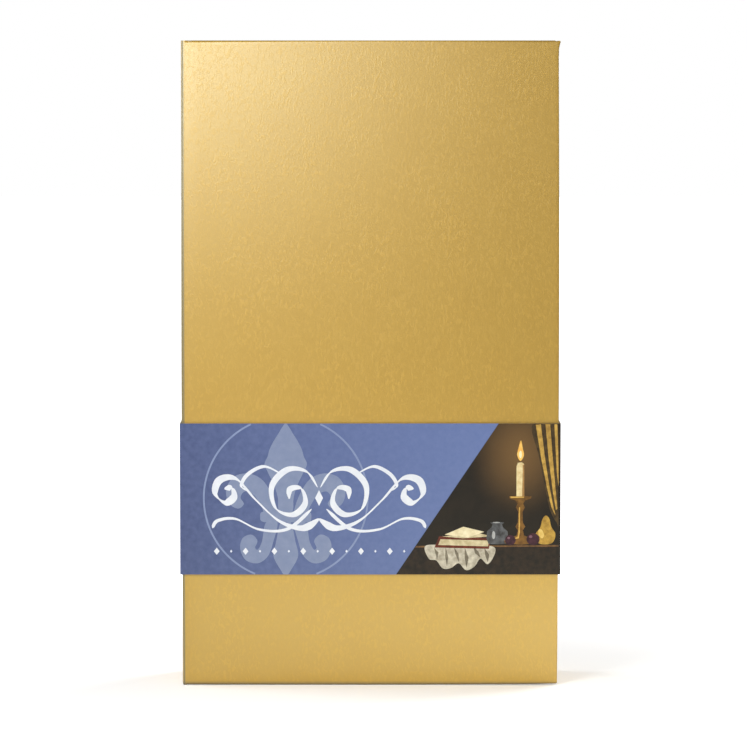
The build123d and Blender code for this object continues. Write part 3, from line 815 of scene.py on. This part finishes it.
GRIP_RADII = [(0, 3.6), (0.22, 4.5), (0.5, 3.6), (0.8, 4.5), (1, 3.6)]  # in millimetres
GROOVES = (0.08, 0.12, 0.44, 0.47, 0.50, 0.53, 0.56, 0.88, 0.92)
GROOVE_DEPTH, GROOVE_WIDTH = 0.35 * MM, 0.0085
GRIP_END = 0.3 * MM
GRIP_RINGS = 93
SOCKET, SHAFT_HOLE = 2.8 * MM, 2.4 * MM  # radii
SOCKET_DEPTH, SHAFT_HOLE_DEPTH = 13 * MM, 11.5 * MM
grip_profile = [(SOCKET, grip_lo.z)]
for i in range(GRIP_RINGS):
    u = i / (GRIP_RINGS - 1)
    r0, r1, t = between(GRIP_RADII, u)
    r = (r0 + (r1 - r0) * t * t * (3 - 2 * t) - 0.08) * MM
    r -= sum(GROOVE_DEPTH * math.exp(-(((u - groove) / GROOVE_WIDTH) ** 2)) for groove in GROOVES)
    grip_profile.append((r, grip_lo.z + GRIP_END + u * (grip_hi.z - grip_lo.z - 2 * GRIP_END)))
grip_profile += [
    (SHAFT_HOLE, grip_hi.z), (SHAFT_HOLE, grip_hi.z - SHAFT_HOLE_DEPTH),
    (SOCKET, grip_lo.z + SOCKET_DEPTH), (SOCKET, grip_lo.z),
]
grip_place = (quill_x, quill_y)
pen_grip_turned = lathe("pen_grip_turned", grip_profile, grip_place, brass, "turned_brass")
stand_in(pen_grip_turned, "base", "pen_grip")

# ---- ink bottle
bottle_lo, bottle_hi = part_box("ink_bottle")
bottle_x, bottle_y = middle(bottle_lo, bottle_hi)
BOTTLE_BODY = 38 * MM
SHOULDER, SHOULDER_IN, FOOT, LIP = 4 * MM, 3 * MM, 1.5 * MM, 0.5 * MM  # rounding
NECK, NECK_WALL, WALL, BASE = 9 * MM, 2.2 * MM, 2 * MM, 3 * MM
RIDGES, RIDGE_DEPTH, RIDGE_RUN = 3, 0.25 * MM, 7 * MM


def arc(cx, cz, r, start, end, count=7):
    turns = [math.radians(start + (end - start) * k / (count - 1)) for k in range(count)]
    return [(cx + r * math.cos(a), cz + r * math.sin(a)) for a in turns]


foot_z, neck_z = bottle_lo.z, bottle_hi.z
radius = (bottle_hi.x - bottle_lo.x) / 2
shoulder_z = foot_z + BOTTLE_BODY
bore, hollow = NECK - NECK_WALL, radius - WALL
ridges = []
for k in range(25):
    t = k / 24
    r = NECK - RIDGE_DEPTH * (1 - math.cos(2 * math.pi * RIDGES * t))
    ridges.append((r, shoulder_z + 1.5 * MM + t * RIDGE_RUN))
bottle_profile = [
    (0, foot_z + 0.6 * MM), (9 * MM, foot_z + 0.5 * MM), (11.5 * MM, foot_z),
    *arc(radius - FOOT, foot_z + FOOT, FOOT, -90, 0),
    *arc(radius - SHOULDER, shoulder_z - SHOULDER, SHOULDER, 0, 90, 12),
    (NECK + LIP, shoulder_z), (NECK, shoulder_z + LIP),
    *ridges,
    *arc(NECK - LIP, neck_z - LIP, LIP, 0, 90, 5),
    *arc(bore + LIP, neck_z - LIP, LIP, 90, 180, 5),
    (bore, shoulder_z - 1.5 * MM),
    *arc(hollow - SHOULDER_IN, shoulder_z - WALL - SHOULDER_IN, SHOULDER_IN, 90, 0, 8),
    *arc(hollow - FOOT, foot_z + BASE + FOOT, FOOT, 0, -90),
    (0, foot_z + BASE),
]
bottle = lathe(
    "ink_bottle_blown", bottle_profile, (bottle_x, bottle_y), bottle_glass, "bottle_glass", 96
)
stand_in(bottle, "base", "ink_bottle")

label_lo, label_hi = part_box("bottle_label")
label_radius = radius + 0.12 * MM
LABEL_MARGIN = 0.42  # between the lines' ends and the bottle's sides, in radians
line_span = math.pi - 2 * LABEL_MARGIN
line_turns = [math.pi + LABEL_MARGIN + line_span * k / 48 for k in range(49)]
for name, low, high in (
    ("label_line_top", label_hi.z - 2.6 * MM, label_hi.z - 1.9 * MM),
    ("label_line_top_fine", label_hi.z - 3.5 * MM, label_hi.z - 3.3 * MM),
    ("label_line_bottom", label_lo.z + 1.9 * MM, label_lo.z + 2.6 * MM),
    ("label_line_bottom_fine", label_lo.z + 3.3 * MM, label_lo.z + 3.5 * MM),
):
    section = rectangle((label_radius - 0.02 * MM, label_radius + 0.03 * MM), (low, high))
    rings = [
        [(bottle_x + r * math.cos(a), bottle_y + r * math.sin(a), z) for r, z in section]
        for a in line_turns
    ]
    label_ink = make_print(name + "_ink", rgb(40, 44, 84))
    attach(make_piece(name, *loft(rings), label_ink, "label_paper"), "base")


# ---- wax sticks
def cast_wax(node, material, seed):
    """A cast square stick with softened edges, a little uneven along its length."""
    lo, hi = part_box(node)
    xs, zs = steps(lo.x, hi.x, 2 * MM), steps(lo.z + 1.2 * MM, hi.z - 1.2 * MM, 2.5 * MM)
    bm = prism(rectangle((lo.x, hi.x), (lo.y, hi.y)), (lo.z, hi.z), 1 * MM, 4, xs, zs)
    cx, cy = middle(lo, hi)

    def shape(p):
        wave = noise.noise(Vector((p.x * 60 + seed, p.y * 60, p.z * 90)))
        swell = 1 - 0.012 - 0.018 * wave - 0.02 * abs(math.sin(p.z * 210 + seed))
        return Vector((cx + (p.x - cx) * swell, cy + (p.y - cy) * swell, p.z))

    stick = finish_prism(bm, node + "_cast", material, shape)
    stand_in(stick, "base", node)


cast_wax("wax_stick_left", wax_red, 1)
cast_wax("wax_stick_right", wax_blue, 5)

wick_lo, wick_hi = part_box("wax_wicks")
WICK, STRAND = 0.8 * MM, 0.38 * MM  # radii
STRANDS, WICK_TURNS, WICK_TIP = 3, 1.6, 0.85
wick_y = (wick_lo.y + wick_hi.y) / 2
strands = []
for wick_x in (wick_lo.x + WICK, wick_hi.x - WICK):
    for strand in range(STRANDS):
        rings = []
        for i in range(37):
            t = i / 36
            spread = (0.40 - max(0, t - WICK_TIP)) * MM
            angle = 2 * math.pi * (strand / STRANDS + WICK_TURNS * t)
            cx, cy = wick_x + spread * math.cos(angle), wick_y + spread * math.sin(angle)
            rings.append(circle(cx, cy, wick_lo.z + t * (wick_hi.z - wick_lo.z), STRAND, 10))
        strands.append(loft(rings))
wicks = make_piece("wax_wicks_twisted", *joined(strands), wick_cotton, "wick", crease=60)
stand_in(wicks, "base", "wax_wicks")

# ---- band
BEND, FLAP_BEND = 0.75 * MM, 0.3 * MM
FLAP, flap_y = 25.9 * MM, -19 * MM  # the part tucked behind the cover
wrap_end = -18.35 * MM
card_x, front_y, back_y = band_right - CARD / 2, band_face + CARD / 2, wrap_back - CARD / 2
front_path = [
    (-card_x, front + 1.6 * MM), (-card_x, front_y), (card_x, front_y), (card_x, flap_y),
    (band_right - FLAP, flap_y),
]
wrap_path = [
    (-card_x + STEP, front + 1.2 * MM), (-card_x + STEP, back_y), (card_x, back_y),
    (card_x, wrap_end),
]


def band_card(name, path, radii, material, inner):
    zs = (band_bottom, band_top)
    path = rounded_path(path, radii, 8)
    return card_piece(name, path, CARD, zs, material, "band_card", card_core, inner)


band_card_front = band_card(
    "band_card_front", front_path, [BEND, BEND, FLAP_BEND], band_print, inner=1
)
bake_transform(band_card_front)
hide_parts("band_front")

band_card_wrap = band_card("band_card_wrap", wrap_path, [BEND, BEND], band_blue, inner=-1)
stand_in(band_card_wrap, "band_wrap", "band_wrap")

# ---- printing on the band
PRINT_LOW, PRINT_HIGH = band_bottom / MM + 0.02, band_top / MM - 0.02
PRINT_RIGHT = band_right / MM - 0.6
UNDER = band_face + 0.05 * MM  # a print's underside, inside the card


def printed(name, outlines, material, level):
    """Flat closed shapes, each a hair thick, on the band's face. Outlines are in millimetres."""
    verts, faces = [], []
    for index, outline in enumerate(outlines):
        points = [(min(x, PRINT_RIGHT), clamp(z, PRINT_LOW, PRINT_HIGH)) for x, z in outline]
        base, count = len(verts), len(points)
        skin = band_face - PRINT - LEVEL * (level + 0.35 * index / len(outlines))
        for y in (skin, UNDER):
            verts += [(x * MM, y, z * MM) for x, z in points]
        for a, b, c in tessellate_polygon([[Vector((x, z, 0)) for x, z in points]]):
            faces.append((base + a, base + b, base + c))
            faces.append((base + count + c, base + count + b, base + count + a))
        for i in range(count):
            j = (i + 1) % count
            faces.append((base + i, base + j, base + count + j, base + count + i))
    obj = make_piece(name, verts, faces, material, "band_card", merge=False, crease=20)
    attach(obj, "band_front")


def pen_line(points, thin, thick, nib_angle=0.75):
    """Both edges of a broad-nib stroke along a smooth line, tapered at both ends."""
    line = smooth_line(points, 14)
    last = len(line) - 1
    near, far = [], []
    for i, p in enumerate(line):
        along = heading(line, i)
        slant = abs(math.sin(math.atan2(along.y, along.x) - nib_angle))
        taper = min(1, 0.2 + i / (last * 0.08), 0.2 + (last - i) / (last * 0.08))
        across = Vector((-along.y, along.x)) * (thin + (thick - thin) * slant) * taper / 2
        near.append(p + across)
        far.append(p - across)
    return near, far


def printed_lines(name, strokes, material, level):
    """Pen strokes as strips. Each lies a hair above the one before."""
    strips = []
    for index, edges in enumerate(strokes):
        count = len(edges[0])
        verts, faces = [], []
        for i, pair in enumerate(zip(*edges)):
            rise = LEVEL * (level + 0.8 * index / len(strokes) + 0.5 * i / count)
            for y in (band_face - PRINT - rise, UNDER):
                verts += [(p.x * MM, y, p.y * MM) for p in pair]
        for a in range(0, 4 * (count - 1), 4):
            b = a + 4
            faces += [
                (a, b, b + 1, a + 1),
                (a + 3, b + 3, b + 2, a + 2),
                (a + 2, b + 2, b, a),
                (a + 1, b + 1, b + 3, a + 3),
            ]
        end = 4 * (count - 1)
        faces += [(0, 1, 3, 2), (end + 1, end, end + 2, end + 3)]
        strips.append((verts, faces))
    obj = make_piece(name, *joined(strips), material, "band_card", False, False, 20)
    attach(obj, "band_front")


pale_blue = make_print("print_pale_blue", rgb(129, 141, 172), rgb(121, 134, 167))
line_blue = make_print("print_line_blue", rgb(132, 146, 182), rgb(124, 138, 176))
white_ink = make_print("print_white", rgb(226, 230, 238), rgb(216, 221, 233))

CIRCLE_X, CIRCLE_Z, CIRCLE_R = -36.3, 80.9, 35.2
CIRCLE_LINE = 0.76


def circle_arc(start, end, count=60):
    """Both edges of a part of the ring, between two angles in degrees."""
    turns = [math.radians(start + (end - start) * k / (count - 1)) for k in range(count)]
    centre = Vector((CIRCLE_X, CIRCLE_Z))
    rays = [Vector((math.cos(a), math.sin(a))) for a in turns]
    radii = (CIRCLE_R + CIRCLE_LINE / 2, CIRCLE_R - CIRCLE_LINE / 2)
    return tuple([centre + ray * r for ray in rays] for r in radii)


printed_lines("band_circle", [circle_arc(-68, 65), circle_arc(115, 248)], line_blue, 1)


def curve(points, per_span=8):
    """A smooth closed outline."""
    return [(p.x, p.y) for p in smooth_line(points, per_span, True)]


def mirrored(points):
    """An outline given by its right half, from the bottom up, closed by its mirror image."""
    return points + [(-x, z) for x, z in reversed(points) if x > 1e-6]


top_leaf = [
    (0, 75), (3, 75.5), (3.4, 81), (5, 86.5), (7.6, 92), (9.1, 95.6), (7.8, 98.8),
    (6.9, 102), (5, 105.8), (3.2, 108.6), (1.9, 110.9), (0.8, 112.5), (0, 113.8),
]
tail_leaf = [(0, 47.2), (2.4, 50.2), (5.3, 56), (4.2, 62), (2.4, 70), (0, 70.2)]
petal = [
    (3.6, 75.2), (6.2, 83), (10.5, 89.2), (16.5, 91.6), (22.5, 90), (25.6, 84.5), (24.4, 78.8),
    (20.6, 76.4), (18, 78.4), (19.4, 81.2), (17.6, 83.8), (13.8, 82.4), (10.6, 77.6),
    (8.6, 73.2), (5.4, 72.4),
]
curl = [
    (3.6, 70.4), (5.4, 62), (7.6, 56), (12, 52.8), (17.2, 54.2), (19.6, 59), (18.6, 63.6),
    (14.8, 65.2), (12.2, 62.6), (13.2, 59.6), (12, 58.8), (10.2, 62.4), (8.6, 70.2),
]
belt = [(0, 70.6), (9.5, 70.6), (11, 72.9), (9.5, 75.2), (0, 75.2)]
lily = [curve(mirrored(top_leaf)), curve(mirrored(tail_leaf))]
for outline in (petal, curl):
    lily += [curve(outline), curve([(-x, z) for x, z in outline])]
lily.append(curve(mirrored(belt), 4))
lily = [[(CIRCLE_X + x, z) for x, z in outline] for outline in lily]
printed("band_lily", lily, pale_blue, 2)

FLOURISH_X, FLOURISH_Z = -22, 80.6
half_strokes = [  # the right half's points, and each stroke's thinnest and thickest
    ([(0, -8.6), (7, -12.6), (17, -9.6), (27, -0.6), (35.5, 8.6), (42.6, 8.2), (44.6, 2.4),
      (40.4, -1.6), (36.6, 0.8), (37.4, 4.6), (40.6, 4.4)], 0.6, 3.3),
    ([(0.6, 5), (5.4, 11.8), (13.6, 12.6), (20.2, 5.6), (18.6, -4), (11.2, -6.8),
      (6, -2), (7.6, 4.4), (12.4, 4.2), (12.8, 0)], 0.5, 2.7),
    ([(3.2, -4.4), (13.6, -13), (25.6, -13.2), (36, -8.6), (43.6, -9.4), (45.8, -12.6)],
     0.4, 1.5),
    ([(16.6, 11), (23.6, 14), (30.6, 10.6), (33.4, 5.6), (30.4, 3.6)], 0.4, 1.6),
]
strokes = []
for half_stroke in half_strokes:
    edges = pen_line(*half_stroke)
    for side in (1, -1):
        strokes.append([
            [Vector((FLOURISH_X + side * p.x, FLOURISH_Z + p.y)) for p in edge]
            for edge in edges[::side]
        ])
printed_lines("band_flourish", strokes, white_ink, 4)

MARKS, MARK_Z, MARK_START, MARK_STEP = 14, 58, -66, 6.2
MARK_SIZES = (1.55, 0.62)  # by turns


def diamond(x, z, wide, tall):
    return [(x, z - tall), (x + wide, z), (x, z + tall), (x - wide, z)]


marks = []
for i in range(MARKS):
    size = MARK_SIZES[i % 2]
    marks.append(diamond(MARK_START + MARK_STEP * i, MARK_Z, size * 0.8, size))
marks.append(diamond(FLOURISH_X, 81, 1.7, 3.4))
printed("band_marks", marks, white_ink, 4)


# ---- picture panel
# A candle-lit still life. Its outlines are in millimetres; each row has two mottled colours.
def oval(cx, cz, rx, rz, tilt=0):
    c, s = math.cos(tilt), math.sin(tilt)
    turns = [2 * math.pi * k / 28 for k in range(28)]
    flat = [(rx * math.cos(a), rz * math.sin(a)) for a in turns]
    return [(cx + x * c - z * s, cz + x * s + z * c) for x, z in flat]


def turned(cx, profile):
    """A turned object from the side: (half width, height) up its right side, then mirrored."""
    return [(cx + r, z) for r, z in profile] + [(cx - r, z) for r, z in reversed(profile)]


def beside(cx, points):
    """An outline given from an upright line."""
    return [(cx + x, z) for x, z in points]


def panel_left(z):
    """The panel's slanting edge at this height."""
    return PANEL_FOOT / MM + (z - band_bottom / MM) * PANEL_SLANT + 0.3


cx = CANDLE_X / MM
edge_x = band_right / MM - 0.8
curtain = curve([
    (69.6, 112.6), (edge_x, 112.8), (edge_x, 72), (80, 70.6), (77.2, 76), (75, 86),
    (72.4, 99),
])

picture = [
    ("table", (46, 35, 26), (26, 22, 19),
     [[(panel_left(48), 48), (edge_x, 48), (edge_x, 60.4), (panel_left(60), 60)]]),
    ("table_edge", (122, 88, 52), (84, 60, 38),
     [[(panel_left(59.6), 59.6), (edge_x, 60), (edge_x, 60.7), (panel_left(60.3), 60.3)]]),
    ("curtain_dark", (84, 66, 38), (52, 41, 26), [[(x, z) for x, z in curtain if x <= edge_x]]),
    ("curtain_light", (212, 172, 84), (158, 122, 58),
     [[(71, 112.6), (73.2, 112.8), (74.8, 100), (76.6, 88), (78.4, 78.6), (79.6, 73.4),
       (77.8, 77), (75.8, 86), (73.4, 98)],
      [(75.2, 112.8), (77.2, 112.8), (78.3, 99), (79.5, 86), (80.4, 76.4), (79.8, 75.8),
       (78.4, 84), (76.6, 98)],
      [(79, 112.8), (80.3, 112.8), (80.8, 98), (80.9, 86), (80.1, 92)]]),
    ("cloth", (206, 200, 184), (156, 148, 132),
     [curve([(23.6, 60.2), (31, 60.8), (40, 60.7), (49, 60.6), (53.6, 59.4), (53, 55.6),
         (50.4, 52.4), (47.4, 54.8), (44.8, 51.4), (41.2, 49.8), (38, 52.8),
         (34.8, 50.8), (31.2, 50.6), (28.4, 54), (25.2, 54.8)])]),
    ("cloth_fold", (128, 120, 104), (96, 88, 76),
     [[(27.4, 59.6), (29.4, 57.4), (28.7, 54.4), (28, 57.2)],
      [(32.4, 59.8), (33.5, 55.6), (33, 51.4), (32.2, 55.8)],
      [(36, 59.8), (38, 56.8), (38.1, 53.3), (36.6, 56.8)],
      [(40.6, 59.8), (42.3, 55.2), (41.4, 50.6), (40.6, 55.4)],
      [(44.4, 59.8), (46.6, 57.8), (47.4, 55.2), (45, 57.2)],
      [(49, 59.6), (51.2, 56.4), (50.5, 53.2), (49.4, 56.4)]]),
    ("book", (112, 52, 36), (76, 34, 26), [[(27.6, 59.6), (51, 59), (52, 63.8), (29.6, 64.4)]]),
    ("pages", (214, 202, 166), (178, 163, 126),
     [[(29.2, 60.7), (50.6, 60.1), (51.1, 62.6), (30.2, 63.2)],
      [(30.8, 64.4), (46, 66), (52.4, 64.4), (40, 63.6)]]),
    ("sheet", (238, 228, 196), (214, 200, 160), [[(32, 65.2), (40, 68.6), (49, 66.4), (42, 63.9)]]),
    ("pot", (96, 98, 102), (58, 58, 60),
     [turned(54.6, [(0.1, 61), (3.8, 61.2), (4.7, 63.6), (4.4, 66.6), (2.4, 68.4),
         (2.1, 69.6), (3, 70.4), (0.1, 70.8)])]),
    ("brass_dark", (132, 94, 42), (92, 64, 30),
     [turned(cx, [(0.1, 60.8), (6.6, 61.4), (7, 62.6), (4.2, 63.8), (1.6, 64.8), (1.1, 67),
         (2.1, 68.6), (1.1, 70.4), (0.9, 75), (1.9, 77), (1.2, 78.6), (2.2, 80),
         (4.6, 80.8), (4.8, 81.7), (0.1, 81.9)])]),
    ("brass_light", (226, 184, 96), (186, 142, 66),
     [beside(cx, [(-4.6, 62.9), (-1.2, 64.2), (-0.8, 66), (-0.6, 77), (-0.1, 77), (-0.2, 66),
         (-0.6, 63.6)]),
      beside(cx, [(-4.2, 81.1), (1.6, 81.1), (1.6, 81.6), (-4.2, 81.6)])]),
    ("candle", (236, 220, 172), (214, 188, 132),
     [beside(cx, [(-1.7, 81.7), (1.7, 81.7), (1.6, 95.6), (0.6, 96.4), (-1.1, 96.2),
         (-1.7, 94.6)])]),
    ("candle_shade", (178, 138, 84), (150, 112, 66),
     [beside(cx, [(0.7, 81.7), (1.7, 81.7), (1.6, 95.4), (1, 95.2)])]),
    ("flame", (250, 206, 112), (240, 176, 78),
     [curve(beside(cx, [(0, 97), (1.5, 99.4), (1, 102.2), (0.2, 105.8), (-0.9, 102.4),
         (-1.4, 99.4)]), 6)]),
    ("flame_core", (255, 244, 206), (255, 232, 170), [oval(cx, 99.8, 0.6, 1.6)]),
    ("pear", (198, 160, 72), (150, 116, 50),
     [curve([(75, 60.9), (78.4, 61.8), (79.6, 65.4), (77.8, 68.6), (76.9, 72.2),
         (75.4, 73.4), (74, 71.8), (73, 68.2), (71, 65.2), (72, 61.8)], 6)]),
    ("pear_light", (232, 204, 124), (212, 178, 94), [oval(73.4, 65.6, 1.1, 2.1, 0.3)]),
    ("plum", (74, 40, 52), (48, 26, 36), [oval(70, 63.2, 2.8, 2.6), oval(60.2, 62.8, 2.3, 2.2)]),
    ("plum_light", (142, 104, 116), (110, 76, 90),
     [oval(69, 64.3, 0.7, 0.6), oval(59.5, 63.7, 0.6, 0.5)]),
    ("pot_light", (186, 188, 190), (150, 150, 150),
     [oval(53, 65, 0.7, 1.7), oval(54.2, 70.4, 1.6, 0.25)]),
]
for depth, (name, colour, second, outlines) in enumerate(picture):
    material = make_print("picture_" + name, rgb(*colour), rgb(*second), 420)
    printed("picture_" + name, outlines, material, 2 + depth * 0.35)

# ---- floor, light and camera
FLOOR = 6
NEAR_GLOW, FAR_GLOW = 0.2, 1  # the backdrop fades to plain white away from the case
GLOW_RUN = (0.12, 0.4)  # metres from the case's middle
floor_mesh = bpy.data.meshes.new("floor")
floor_corners = [(x, y, 0) for x, y in rectangle((-FLOOR, FLOOR), (-FLOOR, FLOOR))]
floor_mesh.from_pydata(floor_corners, [], [(0, 1, 2, 3)])
floor = linked("floor", floor_mesh)
floor.location.z = -0.02 * MM
s = Shader("floor_white")
glow = s.span(s.distance((0, 0, 0)), *GLOW_RUN, NEAR_GLOW, FAR_GLOW, "SMOOTHSTEP")
floor_white = s.surface(
    Base_Color=(0.92, 0.92, 0.92, 1),
    Roughness=0.9,
    Emission_Color=(1, 1, 1, 1),
    Emission_Strength=s.math("MULTIPLY", s.seen(), glow),
)
floor_mesh.materials.append(floor_white)

AMBIENT = 0.3
world = bpy.data.worlds.new("studio")
scene.world = world
world.use_nodes = True
w = Nodes(world.node_tree)
sky = w.span(w.seen(), 0, 1, AMBIENT, 1)
w.feed(world.node_tree.nodes["Background"], Strength=sky, Color=(1, 1, 1, 1))


def area_light(name, place, aim, size, power, colour=(1, 1, 1)):
    data = bpy.data.lights.new(name, "AREA")
    data.shape = "RECTANGLE"
    data.size, data.size_y = size
    data.energy = power
    data.color = colour
    lamp = linked(name, data)
    lamp.location = place
    lamp.visible_camera = False
    lamp.rotation_euler = (Vector(aim) - Vector(place)).to_track_quat("-Z", "Y").to_euler()


area_light("key", (-0.13, -0.32, 0.325), (-0.055, -0.02, 0.23), (0.17, 0.17), 1.04)
area_light("low", (0.07, -0.12, 0.018), (0.03, 0, 0.015), (0.42, 0.03), 0.1, (1, 0.95, 0.68))
area_light("rear", (0.75, 0.70, 0.55), (0, 0, 0.12), (0.6, 0.6), 9)
area_light("side", (-0.85, 0.25, 0.40), (-0.05, 0, 0.12), (0.5, 0.5), 4)

CAMERA_PLACE = Vector((0, front - 1.94, 0.278))
CAMERA_AIM = Vector((1.4 * MM, front, 136.5 * MM))
camera_data = bpy.data.cameras.new("camera")
camera_data.lens = 218.6
camera_data.sensor_width = 36
camera_data.clip_start, camera_data.clip_end = 0.1, 30
camera = linked("camera", camera_data)
camera.location = CAMERA_PLACE
camera.rotation_mode = "QUATERNION"
camera.rotation_quaternion = (CAMERA_AIM - CAMERA_PLACE).to_track_quat("-Z", "Y")
scene.camera = camera
scene.view_settings.view_transform = "Standard"
